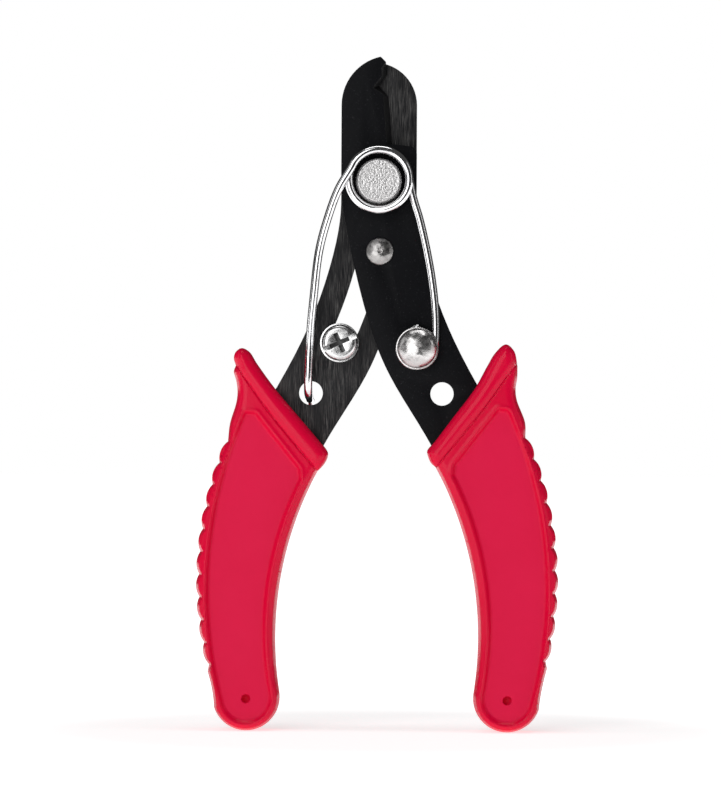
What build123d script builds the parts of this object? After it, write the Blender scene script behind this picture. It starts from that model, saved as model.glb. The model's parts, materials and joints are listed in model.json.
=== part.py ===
from build123d import *
import math
import os

# Wire stripper: two crossed levers on one rivet, held open by a torsion spring, with an adjustable stop
# screw. It stands on the ends of its grips: X runs across the handles, Y is the depth with the front
# towards -Y, and Z is up from the grips' ends. Outlines are drawn as (x, z) measured from the pivot.

os.makedirs("parts", exist_ok=True)

# ---- driving dimensions, mm ----
OVERALL_HEIGHT = 150.0
TIP_RISE = 27.8  # jaw tip above the pivot
PIVOT_HEIGHT = OVERALL_HEIGHT - TIP_RISE

LEVER_THICKNESS = 2.6
LEVER_GAP = 0.2  # between the two levers' faces
SLIP_GAP = 0.05  # behind and in front of what turns or slides
CUT_PAST = 1.0  # how far a cut runs past the face it opens
RUNNING_CLEARANCE = 0.05  # radial, shaft in a turning hole

WIRE_RADIUS = 0.92
COIL_RADIUS = 6.95
COIL_TURNS = 2.5
COIL_PITCH = 1.9
COIL_STEPS = 12  # corners in each turn of the coil's path
WIRE_LIFT = 0.1  # wire clear of the lever's face

RIVET_SHANK_RADIUS = 3.0
RIVET_HEAD_RADIUS = 5.2
RIVET_HEAD_CHAMFER = 0.65
RIVET_HEAD_HEIGHT = 5.9
RIVET_TAIL_RADIUS = 4.8
RIVET_TAIL_HEIGHT = 1.4

STOP_PIN_AT = (0.27, -15.5)
STOP_PIN_RADIUS = 1.3
STOP_PIN_HEAD_RADIUS = 3.05
STOP_PIN_HEAD_HEIGHT = 1.5
STOP_PIN_DIMPLE = 0.45
STOP_PIN_RIM_HEIGHT = 0.3
STOP_PIN_SHOULDER = (2.05, 0.35)  # point of the dome: radius, and depth below its top
STOP_PIN_SHORT = 0.3  # from the shank's end to the rear lever's back

STUD_AT = (8.66, -37.0)
STUD_SHANK_RADIUS = 2.0
STUD_NECK_RADIUS = 2.95
STUD_NECK_HEIGHT = 2.1
STUD_HEAD_RADIUS = 4.7
STUD_RIM_HEIGHT = 0.5
STUD_RIM_STEP = 0.25  # ledge between the rim and the dome
STUD_DOME_HEIGHT = 2.4
STUD_TAIL_RADIUS = 2.8
STUD_TAIL_FLAT_RADIUS = 1.96
STUD_TAIL_HEIGHT = 0.9

SCREW_AT = (-8.57, -35.8)
SCREW_RADIUS = 2.0  # M4
SCREW_LENGTH = 8.0
SCREW_END_CHAMFER = 0.3
SCREW_HEAD_RADIUS = 4.0
SCREW_HEAD_HEIGHT = 2.5
SCREW_HEAD_ROUND = 1.2
DRIVER_SLOT_WIDTH = 1.2
DRIVER_SLOT_DEPTH = 1.2
DRIVER_SLOT_ANGLE = 24.0
DRIVER_CROSS_LENGTH = 4.6
DRIVER_CROSS_WIDTH = 1.0
DRIVER_CROSS_DEPTH = 1.7
WASHER_RADIUS = 4.35
WASHER_BORE_RADIUS = 2.15
WASHER_THICKNESS = 0.8
NUT_ACROSS_FLATS = 7.0
NUT_HEIGHT = 3.2
NUT_CORNER_CHAMFER = 0.45

HANGING_HOLE_AT = (14.27, -47.1)
HANGING_HOLE_RADIUS = 2.6
SPRING_HOLE_AT = (-14.9, -47.05)
SPRING_HOLE_RADIUS = 2.65

WINDOW_WIDTH = 5.4
WINDOW_LINE = [(-2.0, -17.4), (-5.05, -27.6), (-9.08, -37.17)]  # arc along the middle of the window
STOP_ARC_WIDTH = 3.3
STOP_ARC_ANGLES = (-7.0, 11.1)  # from straight down, towards the front lever's side

GRIP_THICKNESS = 11.0
COLLAR_THICKNESS = 12.6
GRIP_EDGE_ROUND = 2.0
COLLAR_EDGE_ROUND = 0.6
SCALLOP_THICKNESS = 6.8
SCALLOP_PITCH_DEG = 3.68  # about the outer side's centre
SCALLOP_COUNT = 10
SCALLOP_DEPTH = 0.75
SCALLOP_ROOT = 5.0  # how far the scalloped band reaches into the grip
PANEL_DEPTH = 0.7
PIN_HOLE_RADIUS = 1.0
PIN_HOLE_DEPTH = 2.2

# ---- depths, from the plane where the levers meet ----
LEVER_FACE = LEVER_GAP / 2
LEVER_OUTSIDE = LEVER_FACE + LEVER_THICKNESS
COIL_REAR = LEVER_OUTSIDE + WIRE_LIFT + WIRE_RADIUS
COIL_FRONT = COIL_REAR + COIL_TURNS * COIL_PITCH
FRONT_REACH = COIL_FRONT + WIRE_RADIUS
WASHER_FRONT = WASHER_THICKNESS + SLIP_GAP - LEVER_FACE
SCREW_SEAT = WASHER_FRONT + SLIP_GAP
BACK_REACH = LEVER_FACE + (LEVER_THICKNESS + COLLAR_THICKNESS) / 2  # the rear grip's collar
MEETING_Y = (FRONT_REACH - BACK_REACH) / 2  # puts the whole tool's middle at y = 0


def upright(depth):
    """Upright drawing plane, local origin at the pivot, at a depth in front of the levers' meeting plane."""
    origin = (0, MEETING_Y - depth, PIVOT_HEIGHT)
    return Plane(origin=origin, x_dir=(1, 0, 0), z_dir=(0, -1, 0))


def slab(face, back, front):
    """Solid of an outline between two depths, the larger nearer the front."""
    return extrude(upright(back) * face, amount=front - back)


def disc(at, radius, back, front):
    return slab(Pos(*at) * Circle(radius), back, front)


def point_on(centre, radius, angle_deg):
    """Point of a circle at an angle from +x towards +z."""
    a = math.radians(angle_deg)
    return (centre[0] + radius * math.cos(a), centre[1] + radius * math.sin(a))


def turned(at, profile):
    """Round piece about a depth axis; the profile's points are (radius, depth in front)."""
    face = make_face(profile)
    axis_plane = Plane(
        origin=(at[0], MEETING_Y, PIVOT_HEIGHT + at[1]),
        x_dir=(1, 0, 0),
        z_dir=(0, 0, 1),
    )
    flipped = mirror(face, about=Plane.XZ)
    return revolve(axis_plane * flipped, axis=Axis((axis_plane.origin), (0, 1, 0)))


# ---- levers ----
# Drawn as the front lever: jaw at the upper left, arm to the lower right.
JAW_SIDE = -8.4
HUB_SIDE = 8.4
HUB_TOP = 8.3
JAW_OVERLAP = 4.0  # height above the pivot where the jaw's own solid starts, inside the hub
EDGE_FRONT = [(0.5, 25.2), (0.6, 23.5), (-1.4, 20.9), (0.76, 19.5), (1.15, 14.0), (1.69, HUB_TOP)]
EDGE_MEETING = [(1.65, 25.4), (1.69, 23.9), (-0.09, 21.45), (2.0, 19.1), (2.34, 15.5), (2.85, HUB_TOP)]
NOTCH = 2  # the notch's place in the two lists
FRONT_TIP = {"tip": (0.24, 27.8), "corner": (1.45, 26.6), "centre": (2.7, 17.0)}
REAR_TIP = {"tip": (0.24, 26.57), "corner": (1.2, 25.9), "centre": (1.1, 17.1)}
REAR_NOTCH_INFILL = 0.35  # the rear jaw's notch is this much shallower
GRIP_INNER_CENTRE = (-50.1, -99.9)
GRIP_INNER_RADIUS = 72.5
GRIP_OUTER_CENTRE = (-39.2, -88.7)
GRIP_OUTER_RADIUS = 79.5
TANG_INSET = 4.5  # from the grip's sides to the tang's
TANG_INNER = GRIP_INNER_RADIUS + TANG_INSET
TANG_OUTER = GRIP_OUTER_RADIUS - TANG_INSET
TANG_ANGLE = 61.0  # inside edge of the arm at the mouth of the grip, below horizontal
TANG_END = (30.0, -111.4)
INNER_MOUTH = (12.3, -59.2)
OUTER_MOUTH = (22.4, -45.6)


def jaw_outline(tip, edge):
    """Closed outline of one face of a jaw, from its tip down the cutting edge and up its back."""
    bottom_right = (edge[-1][0], JAW_OVERLAP)
    shoulder = (JAW_SIDE, tip["centre"][1])
    cx, cz = tip["centre"]
    radius = cx - JAW_SIDE
    cutting = Polyline(tip["tip"], tip["corner"], *edge, bottom_right)
    back = Polyline(bottom_right, (JAW_SIDE, JAW_OVERLAP), shoulder)
    nose = ThreePointArc(shoulder, point_on((cx, cz), radius, 140), tip["tip"])
    return make_face(cutting + back + nose)


def jaw(tip, infill, meeting_depth, outer_depth):
    """Jaw whose cutting edge lies at the meeting plane, with the bevel ground from the outer face."""
    edge_out = [(x + infill * (i == NOTCH), z) for i, (x, z) in enumerate(EDGE_FRONT)]
    edge_in = [(x + infill * (i == NOTCH), z) for i, (x, z) in enumerate(EDGE_MEETING)]
    outer = upright(outer_depth) * jaw_outline(tip, edge_out)
    inner = upright(meeting_depth) * jaw_outline(tip, edge_in)
    return loft([inner, outer], ruled=True)


def tang_lines():
    """Edges of the tang inside the grip, from the inner side of the mouth round to the outer side."""
    in_top = point_on(GRIP_INNER_CENTRE, TANG_INNER, 29.5)
    in_middle = point_on(GRIP_INNER_CENTRE, TANG_INNER, 11.0)
    in_end = point_on(GRIP_INNER_CENTRE, TANG_INNER, -6.0)
    out_end = point_on(GRIP_OUTER_CENTRE, TANG_OUTER, -14.4)
    out_middle = point_on(GRIP_OUTER_CENTRE, TANG_OUTER, 6.0)
    out_top = point_on(GRIP_OUTER_CENTRE, TANG_OUTER, 28.0)
    lines = Polyline(INNER_MOUTH, (16.5, -63.2), in_top)
    lines += ThreePointArc(in_top, in_middle, in_end)
    lines += ThreePointArc(in_end, TANG_END, out_end)
    lines += ThreePointArc(out_end, out_middle, out_top)
    return lines + Line(out_top, OUTER_MOUTH)


def arm_outline():
    """Hub, arm and tang of a lever, up to the shoulder under the cutting edge."""
    inner_way = Vector(1, 0).rotate(Axis.Z, -TANG_ANGLE)
    inner_edge = Spline(
        (JAW_SIDE, 0),
        (-7.1, -10.9),
        (-3.5, -26.4),
        (1.6, -41.0),
        INNER_MOUTH,
        tangents=[(0, -1), inner_way],
    )
    outer_edge = Spline(
        OUTER_MOUTH,
        (16.1, -33.5),
        (10.6, -18.1),
        (8.5, -7.0),
        (HUB_SIDE, 1.0),
        tangents=[(-0.5, 0.87), (0, 1)],
    )
    lines = tang_lines() + outer_edge
    lines += Line((HUB_SIDE, 1.0), (HUB_SIDE, 6.2))
    lines += ThreePointArc((HUB_SIDE, 6.2), (7.9, 7.35), (6.8, 7.85))
    lines += ThreePointArc((6.8, 7.85), (4.2, 8.25), (1.5, HUB_TOP))
    lines += Polyline((1.5, HUB_TOP), (JAW_SIDE, HUB_TOP), (JAW_SIDE, 0))
    lines += inner_edge
    return make_face(lines)


def lever_blank(tip, infill):
    """Lever stamping before its holes, as a front lever."""
    blank = slab(arm_outline(), LEVER_FACE, LEVER_OUTSIDE)
    return blank + jaw(tip, infill, LEVER_FACE, LEVER_OUTSIDE)


def turn_round(solid):
    """The same piece turned half a turn about the upright line through the pivot."""
    axis = Axis((0, MEETING_Y, 0), (0, 0, 1))
    return solid.rotate(axis, 180)


def window_outline():
    """The rear lever's window: a long curved slot for the stop screw, widened above for the stop pin."""
    middle = ThreePointArc(*WINDOW_LINE)
    stop_radius = math.hypot(*STOP_PIN_AT)
    low, high = (a - 90 for a in STOP_ARC_ANGLES)
    swing = ThreePointArc(
        point_on((0, 0), stop_radius, low),
        point_on((0, 0), stop_radius, (low + high) / 2),
        point_on((0, 0), stop_radius, high),
    )
    return SlotArc(middle, WINDOW_WIDTH) + SlotArc(swing, STOP_ARC_WIDTH)


def front_lever():
    lever = lever_blank(FRONT_TIP, 0.0)
    lever -= disc((0, 0), RIVET_SHANK_RADIUS + RUNNING_CLEARANCE, 0, LEVER_OUTSIDE + CUT_PAST)
    lever -= disc(STOP_PIN_AT, STOP_PIN_RADIUS, 0, LEVER_OUTSIDE + CUT_PAST)
    lever -= disc(STUD_AT, STUD_SHANK_RADIUS, 0, LEVER_OUTSIDE + CUT_PAST)
    lever -= disc(HANGING_HOLE_AT, HANGING_HOLE_RADIUS, 0, LEVER_OUTSIDE + CUT_PAST)
    return lever


def rear_lever():
    lever = turn_round(lever_blank(REAR_TIP, REAR_NOTCH_INFILL))
    lever -= disc((0, 0), RIVET_SHANK_RADIUS, -LEVER_OUTSIDE - CUT_PAST, 0)
    lever -= disc(SPRING_HOLE_AT, SPRING_HOLE_RADIUS, -LEVER_OUTSIDE - CUT_PAST, 0)
    lever -= slab(window_outline(), -LEVER_OUTSIDE - CUT_PAST, 0)
    return lever


# ---- rivets ----
def pivot_rivet():
    """Tall flat head that the coil sits round, plain shank, tail peened over behind the rear lever."""
    head_seat = LEVER_OUTSIDE + SLIP_GAP
    head_top = head_seat + RIVET_HEAD_HEIGHT
    tail_seat = -LEVER_OUTSIDE
    tail_end = tail_seat - RIVET_TAIL_HEIGHT
    tail_flat = RIVET_TAIL_RADIUS / 2
    outline = Polyline(
        (0, tail_end),
        (tail_flat, tail_end),
        (RIVET_TAIL_RADIUS, tail_seat - RIVET_TAIL_HEIGHT / 3),
        (RIVET_TAIL_RADIUS, tail_seat),
        (RIVET_SHANK_RADIUS, tail_seat),
        (RIVET_SHANK_RADIUS, head_seat),
        (RIVET_HEAD_RADIUS, head_seat),
        (RIVET_HEAD_RADIUS, head_top - RIVET_HEAD_CHAMFER),
        (RIVET_HEAD_RADIUS - RIVET_HEAD_CHAMFER, head_top),
        (0, head_top),
        close=True,
    )
    return turned((0, 0), outline)


def stop_pin():
    """Low domed head with a dimple, and a shank that reaches into the rear lever's window."""
    head_seat = LEVER_OUTSIDE
    rim = head_seat + STOP_PIN_RIM_HEIGHT
    top = head_seat + STOP_PIN_HEAD_HEIGHT
    shank_end = STOP_PIN_SHORT - LEVER_OUTSIDE
    shoulder = (STOP_PIN_SHOULDER[0], top - STOP_PIN_SHOULDER[1])
    outline = Polyline(
        (STOP_PIN_DIMPLE, top),
        (0, top - STOP_PIN_DIMPLE),
        (0, shank_end),
        (STOP_PIN_RADIUS, shank_end),
        (STOP_PIN_RADIUS, head_seat),
        (STOP_PIN_HEAD_RADIUS, head_seat),
        (STOP_PIN_HEAD_RADIUS, rim),
    )
    outline += ThreePointArc((STOP_PIN_HEAD_RADIUS, rim), shoulder, (STOP_PIN_DIMPLE, top))
    return turned(STOP_PIN_AT, outline)


def spring_stud():
    """Domed head on a neck that the spring hooks round, riveted over behind the front lever."""
    neck_end = LEVER_OUTSIDE + STUD_NECK_HEIGHT
    rim = neck_end + STUD_RIM_HEIGHT
    top = rim + STUD_DOME_HEIGHT
    tail_end = LEVER_FACE - STUD_TAIL_HEIGHT
    outline = Polyline(
        (0, top),
        (0, tail_end),
        (STUD_TAIL_FLAT_RADIUS, tail_end),
        (STUD_TAIL_RADIUS, tail_end + STUD_TAIL_HEIGHT / 2),
        (STUD_TAIL_RADIUS, LEVER_FACE),
        (STUD_SHANK_RADIUS, LEVER_FACE),
        (STUD_SHANK_RADIUS, LEVER_OUTSIDE),
        (STUD_NECK_RADIUS, LEVER_OUTSIDE),
        (STUD_NECK_RADIUS, neck_end),
        (STUD_HEAD_RADIUS, neck_end),
        (STUD_HEAD_RADIUS, rim),
        (STUD_HEAD_RADIUS - STUD_RIM_STEP, rim),
    )
    shoulder = (STUD_HEAD_RADIUS - STUD_RIM_STEP, rim)
    sphere = (shoulder[0] ** 2 + STUD_DOME_HEIGHT**2) / (2 * STUD_DOME_HEIGHT)
    half_way = math.asin(shoulder[0] / sphere) / 2
    middle = (sphere * math.sin(half_way), top - sphere * (1 - math.cos(half_way)))
    outline += ThreePointArc(shoulder, middle, (0, top))
    return turned(STUD_AT, outline)


# ---- adjustable stop ----
def adjusting_screw():
    """M4 pan head screw with a driver slot across a cross recess."""
    head_top = SCREW_SEAT + SCREW_HEAD_HEIGHT
    end = SCREW_SEAT - SCREW_LENGTH
    screw = disc(SCREW_AT, SCREW_RADIUS, end, SCREW_SEAT + CUT_PAST)
    screw = chamfer(screw.edges().sort_by(Axis.Y)[-1], SCREW_END_CHAMFER)
    head = disc(SCREW_AT, SCREW_HEAD_RADIUS, SCREW_SEAT, head_top)
    head = fillet(head.edges().sort_by(Axis.Y)[0], SCREW_HEAD_ROUND)
    screw += head
    across = Pos(*SCREW_AT) * Rot(0, 0, DRIVER_SLOT_ANGLE)
    slot = Rectangle(2 * SCREW_HEAD_RADIUS + CUT_PAST, DRIVER_SLOT_WIDTH)
    wing = Rectangle(DRIVER_CROSS_WIDTH, DRIVER_CROSS_LENGTH)
    wing += Rectangle(DRIVER_CROSS_LENGTH, DRIVER_CROSS_WIDTH)
    screw -= slab(across * slot, head_top - DRIVER_SLOT_DEPTH, head_top + CUT_PAST)
    screw -= slab(across * wing, head_top - DRIVER_CROSS_DEPTH, head_top + CUT_PAST)
    return screw


def washer(back):
    ring = Circle(WASHER_RADIUS) - Circle(WASHER_BORE_RADIUS)
    return slab(Pos(*SCREW_AT) * ring, back, back + WASHER_THICKNESS)


def screw_washer():
    return washer(WASHER_FRONT - WASHER_THICKNESS)


def nut_washer():
    return washer(-LEVER_OUTSIDE - SLIP_GAP - WASHER_THICKNESS)


def adjusting_nut():
    """Hexagon nut, its corners turned down on both faces."""
    front = -LEVER_OUTSIDE - SLIP_GAP - WASHER_THICKNESS
    corner = NUT_ACROSS_FLATS / math.sqrt(3)
    hexagon = RegularPolygon(corner, 6) - Circle(SCREW_RADIUS + RUNNING_CLEARANCE)
    nut = slab(Pos(*SCREW_AT) * hexagon, front - NUT_HEIGHT, front)
    turning = disc(SCREW_AT, corner, front - NUT_HEIGHT, front)
    turning = chamfer(turning.edges().filter_by(GeomType.CIRCLE), NUT_CORNER_CHAMFER)
    return nut & turning


# ---- return spring ----
LEFT_LEG = [  # (x, depth share from the coil's front to the hole, z)
    (-8.7, 0.03, -2.2),
    (-11.4, 0.18, -8.6),
    (-13.2, 0.34, -15.6),
    (-14.35, 0.56, -25.6),
    (-15.2, 0.8, -35.8),
    (-15.5, 1.0, -46.6),
]
LEFT_LEG_DEPTH = 1.3  # in front of the meeting plane, over the hole
LEFT_HOOK = [(-15.2, -1.4, -48.3), (-15.0, -4.6, -48.8), (-15.0, -4.9, -52.0)]
RIGHT_LEG = [(8.2, -4.5), (9.7, -9.5), (11.9, -22.2), (12.7, -29.5)]
HOOK_RADIUS = 4.55  # of the corners; the wire itself passes inside them
HOOK_ANGLES = [30, -30, -85, -140, -195, -245]
HOOK_TIP = (9.0, -31.9)
CORNER_SHARE = 0.45  # of the shorter run that an arc may use


def spring_path():
    """Line of the wire: hole in the rear lever, left leg, coil, right leg, hook round the stud."""
    slope = COIL_FRONT - LEFT_LEG_DEPTH
    points = [(x, depth, z) for x, depth, z in reversed(LEFT_HOOK)]
    points += [(x, COIL_FRONT - share * slope, z) for x, share, z in reversed(LEFT_LEG)]
    corner_radius = COIL_RADIUS / math.cos(math.pi / COIL_STEPS)
    steps = round(COIL_TURNS * COIL_STEPS)
    for i in range(steps):
        turned_by = (i + 0.5) / COIL_STEPS
        x, z = point_on((0, 0), corner_radius, 180 - 360 * turned_by)
        points.append((x, COIL_FRONT - COIL_PITCH * turned_by, z))
    points += [(x, COIL_REAR, z) for x, z in RIGHT_LEG]
    for angle in HOOK_ANGLES:
        x, z = point_on(STUD_AT, HOOK_RADIUS, angle)
        points.append((x, COIL_REAR, z))
    points.append((HOOK_TIP[0], COIL_REAR, HOOK_TIP[1]))
    return [Vector(x, MEETING_Y - depth, PIVOT_HEIGHT + z) for x, depth, z in points]


def corner_radii(points):
    """The largest arc that each corner's two runs allow."""
    radii = []
    for before, corner, after in zip(points, points[1:], points[2:]):
        shorter = min((corner - before).length, (after - corner).length)
        turn = math.radians((corner - before).get_angle(after - corner))
        radii.append(CORNER_SHARE * shorter / math.tan(turn / 2))
    return radii


def return_spring():
    points = spring_path()
    path = FilletPolyline(*points, radius=corner_radii(points))
    start = Plane(origin=path @ 0, z_dir=path % 0)
    return sweep(start * Circle(WIRE_RADIUS), path=path)


# ---- grips ----
# Drawn as the right-hand grip, on the front lever. The lists run from the collar's inner end up its top
# edge, round the horn and down the outside to the first scallop. The groove is the collar's lower edge,
# and the root is the body's end inside the collar.
LEFT_MOUTH = {
    "top_edge": [(11.3, -61.9), (11.0, -60.6), (12.0, -58.9), (23.05, -45.9), (27.0, -40.5), (28.7, -37.9)],
    "horn": [(30.3, -37.2), (32.0, -39.3), (31.6, -41.0), (32.1, -42.2), (31.2, -46.2)],
    "neck": [(31.3, -48.7), (32.8, -54.0)],
    "groove": [(29.7, -43.5), (24.25, -51.2), (13.3, -64.4)],
    "root": [(30.5, -43.6), (28.2, -42.2), (22.6, -49.6), (12.5, -61.9)],
    "panel": [(28.3, -51.2), (17.4, -65.1)],
    "scallops": 23.0,
}
RIGHT_MOUTH = {
    "top_edge": [(11.3, -61.3), (11.0, -60.0), (11.9, -58.7), (21.6, -45.8), (24.3, -40.3), (26.1, -37.7)],
    "horn": [(28.6, -35.8), (30.3, -37.6), (31.1, -41.0), (30.9, -43.5), (30.5, -46.0)],
    "neck": [(30.7, -48.4), (32.6, -53.4)],
    "groove": [(29.1, -42.4), (23.6, -50.2), (12.9, -63.4)],
    "root": [(29.9, -42.6), (27.6, -41.2), (21.8, -48.7), (12.2, -61.0)],
    "panel": [(27.7, -50.2), (17.0, -64.1)],
    "scallops": 23.9,
}
END_CENTRE = (29.0, -PIVOT_HEIGHT + 7.5)
END_RADIUS = 7.5
END_ANGLES = (170, -18)
PANEL_INSET = 3.4
END_INSET_SHARE = 0.8  # of the panel's inset, at the rounded end
SOCKET_OVERRUN = 4.0  # how far the socket's cut runs out of the mouth
PIN_HOLE_AT = (29.0, -115.0)


def side_arcs(inner_start, outer_stop, inset):
    """Inner side, rounded end and outer side of a grip, moved inwards by inset, from its two upper ends."""
    inner_radius = GRIP_INNER_RADIUS + inset
    outer_radius = GRIP_OUTER_RADIUS - inset
    end_radius = END_RADIUS - inset * END_INSET_SHARE
    end_in = point_on(END_CENTRE, end_radius, END_ANGLES[0])
    end_out = point_on(END_CENTRE, end_radius, END_ANGLES[1])
    lowest = point_on(END_CENTRE, end_radius, -90)
    lines = ThreePointArc(inner_start, point_on(GRIP_INNER_CENTRE, inner_radius, 8), end_in)
    lines += ThreePointArc(end_in, lowest, end_out)
    lines += ThreePointArc(end_out, point_on(GRIP_OUTER_CENTRE, outer_radius, 2), outer_stop)
    return lines


def smooth_body_outline(mouth):
    """Grip below its collar, with the outer side running along the bottom of the scallops."""
    outer_stop = point_on(GRIP_OUTER_CENTRE, GRIP_OUTER_RADIUS - SCALLOP_DEPTH, mouth["scallops"])
    lines = side_arcs(mouth["root"][-1], outer_stop, 0)
    lines += Polyline(outer_stop, *reversed(mouth["neck"]), *mouth["root"])
    return make_face(lines)


def scalloped_band(mouth):
    """Strip along the outer side that carries the finger scallops."""
    base = GRIP_OUTER_RADIUS - SCALLOP_DEPTH
    inside = GRIP_OUTER_RADIUS - SCALLOP_ROOT
    first = mouth["scallops"]
    last = first - SCALLOP_PITCH_DEG * SCALLOP_COUNT
    inside_first = point_on(GRIP_OUTER_CENTRE, inside, first)
    inside_last = point_on(GRIP_OUTER_CENTRE, inside, last)
    lines = Polyline(
        point_on(GRIP_OUTER_CENTRE, base, last),
        inside_last,
        inside_first,
        point_on(GRIP_OUTER_CENTRE, base, first),
    )
    for i in range(SCALLOP_COUNT):
        start = first - SCALLOP_PITCH_DEG * i
        lines += ThreePointArc(
            point_on(GRIP_OUTER_CENTRE, base, start),
            point_on(GRIP_OUTER_CENTRE, GRIP_OUTER_RADIUS, start - SCALLOP_PITCH_DEG / 2),
            point_on(GRIP_OUTER_CENTRE, base, start - SCALLOP_PITCH_DEG),
        )
    return make_face(lines)


def collar_outline(mouth):
    """Thick bead round the grip's mouth, ending in the horn that guards the thumb."""
    edge = mouth["top_edge"]
    horn = mouth["horn"]
    lines = Polyline(*edge, horn[0])
    lines += Polyline(*horn)
    lines += Line(horn[-1], mouth["groove"][0])
    lines += Polyline(*mouth["groove"])
    lines += Line(mouth["groove"][-1], edge[0])
    return make_face(lines)


def panel_outline(mouth):
    outer_top, inner_top = mouth["panel"]
    lines = side_arcs(inner_top, outer_top, PANEL_INSET)
    lines += Line(outer_top, inner_top)
    return make_face(lines)


def socket_outline():
    """The tang's outline, running on straight past the grip's mouth."""
    way_out = Vector(-SOCKET_OVERRUN, 0).rotate(Axis.Z, -TANG_ANGLE)
    inner_out = Vector(*INNER_MOUTH) + way_out
    outer_out = Vector(*OUTER_MOUTH) + way_out
    lines = Line(inner_out, INNER_MOUTH) + tang_lines()
    lines += Polyline(OUTER_MOUTH, outer_out, inner_out)
    return make_face(lines)


def centred_slab(outline, thickness):
    """Slab centred on the lever's middle plane."""
    middle = LEVER_FACE + LEVER_THICKNESS / 2
    return slab(outline, middle - thickness / 2, middle + thickness / 2)


def rounded_shell(mouth):
    """Body and collar in one, with the edges of their front and back faces rounded."""
    shell = centred_slab(smooth_body_outline(mouth), GRIP_THICKNESS)
    shell += centred_slab(collar_outline(mouth), COLLAR_THICKNESS)
    sides = [edge for edge in shell.edges().filter_by(GeomType.CIRCLE) if edge.length > 2 * END_RADIUS]
    shell = fillet(sides, GRIP_EDGE_ROUND)
    faces = shell.faces().sort_by(Axis.Y)
    return fillet(faces[0].edges() + faces[-1].edges(), COLLAR_EDGE_ROUND)


def grip(mouth):
    """Moulded grip as it sits on the front lever, solid but for the lever inside it."""
    middle = LEVER_FACE + LEVER_THICKNESS / 2
    half = GRIP_THICKNESS / 2
    solid = rounded_shell(mouth) + centred_slab(scalloped_band(mouth), SCALLOP_THICKNESS)
    for face in (-1, 1):
        skin = middle + face * half
        floor = skin - face * PANEL_DEPTH
        solid -= slab(panel_outline(mouth), *sorted((floor, skin + face * CUT_PAST)))
        hole_end = skin - face * (PANEL_DEPTH + PIN_HOLE_DEPTH)
        solid -= disc(PIN_HOLE_AT, PIN_HOLE_RADIUS, *sorted((hole_end, skin)))
    return solid - slab(socket_outline(), LEVER_FACE, LEVER_OUTSIDE)


def left_grip():
    return turn_round(grip(LEFT_MOUTH))


def right_grip():
    return grip(RIGHT_MOUTH)


PIECES = [
    front_lever,
    rear_lever,
    pivot_rivet,
    stop_pin,
    spring_stud,
    adjusting_screw,
    screw_washer,
    nut_washer,
    adjusting_nut,
    return_spring,
    left_grip,
    right_grip,
]

for piece in PIECES:
    export_step(piece(), f"parts/{piece.__name__}.step")
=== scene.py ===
import json
import math

import bmesh
import bpy
import numpy as np
from mathutils import Matrix, Vector, geometry, noise


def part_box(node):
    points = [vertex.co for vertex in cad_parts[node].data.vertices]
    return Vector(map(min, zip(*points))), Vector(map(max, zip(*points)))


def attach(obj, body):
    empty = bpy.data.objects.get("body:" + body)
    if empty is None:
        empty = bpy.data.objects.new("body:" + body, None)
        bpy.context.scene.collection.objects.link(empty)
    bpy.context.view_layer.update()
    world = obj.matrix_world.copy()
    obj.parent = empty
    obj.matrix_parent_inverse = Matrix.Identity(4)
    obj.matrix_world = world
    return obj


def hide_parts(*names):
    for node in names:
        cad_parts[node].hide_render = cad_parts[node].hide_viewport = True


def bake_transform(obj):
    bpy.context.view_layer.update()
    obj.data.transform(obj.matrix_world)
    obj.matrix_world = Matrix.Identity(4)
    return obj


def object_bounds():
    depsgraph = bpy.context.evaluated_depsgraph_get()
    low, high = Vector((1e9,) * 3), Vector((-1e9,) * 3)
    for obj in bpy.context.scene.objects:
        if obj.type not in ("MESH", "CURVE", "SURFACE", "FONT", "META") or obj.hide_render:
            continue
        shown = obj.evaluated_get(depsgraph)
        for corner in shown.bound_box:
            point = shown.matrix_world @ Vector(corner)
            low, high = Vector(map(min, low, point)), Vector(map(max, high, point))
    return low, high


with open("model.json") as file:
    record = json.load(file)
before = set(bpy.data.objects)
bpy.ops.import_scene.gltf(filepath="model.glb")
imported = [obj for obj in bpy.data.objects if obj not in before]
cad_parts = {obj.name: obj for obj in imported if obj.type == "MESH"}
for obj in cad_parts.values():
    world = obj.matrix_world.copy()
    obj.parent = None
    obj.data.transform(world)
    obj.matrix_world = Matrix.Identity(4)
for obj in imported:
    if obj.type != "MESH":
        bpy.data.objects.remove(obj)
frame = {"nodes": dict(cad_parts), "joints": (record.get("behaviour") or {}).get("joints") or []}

# Looks of the wire stripper. Levers, washers, nut and screw keep the CAD's shape, with their edges worn
# round. The grips, spring and rivets are built finer here, and stand for their CAD nodes.
# Outlines are in millimetres: x across, z up from the pivot, and depth towards the front from the plane
# where the levers meet. Grips are drawn right-hand, and the left one is turned round.

cad_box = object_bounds()
MM = 0.001
PIVOT = Vector(next(j["pos_m"] for j in frame["joints"] if j["name"] == "lever_pivot"))


def in_frame(points):
    """(x, depth, z) in millimetres from the pivot to the row frame in metres."""
    points = np.asarray(points, float).reshape(-1, 3)
    return np.column_stack([
        PIVOT.x + points[:, 0] * MM,
        PIVOT.y - points[:, 1] * MM,
        PIVOT.z + points[:, 2] * MM,
    ])


def node_depths(node):
    """(back, front) depth of a CAD node, in millimetres."""
    low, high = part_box(node)
    return (PIVOT.y - high.y) / MM, (PIVOT.y - low.y) / MM


def node_centre(node):
    """(x, z) of the middle of a CAD node, in millimetres from the pivot."""
    low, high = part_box(node)
    middle = (low + high) / 2 - PIVOT
    return middle.x / MM, middle.z / MM


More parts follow.
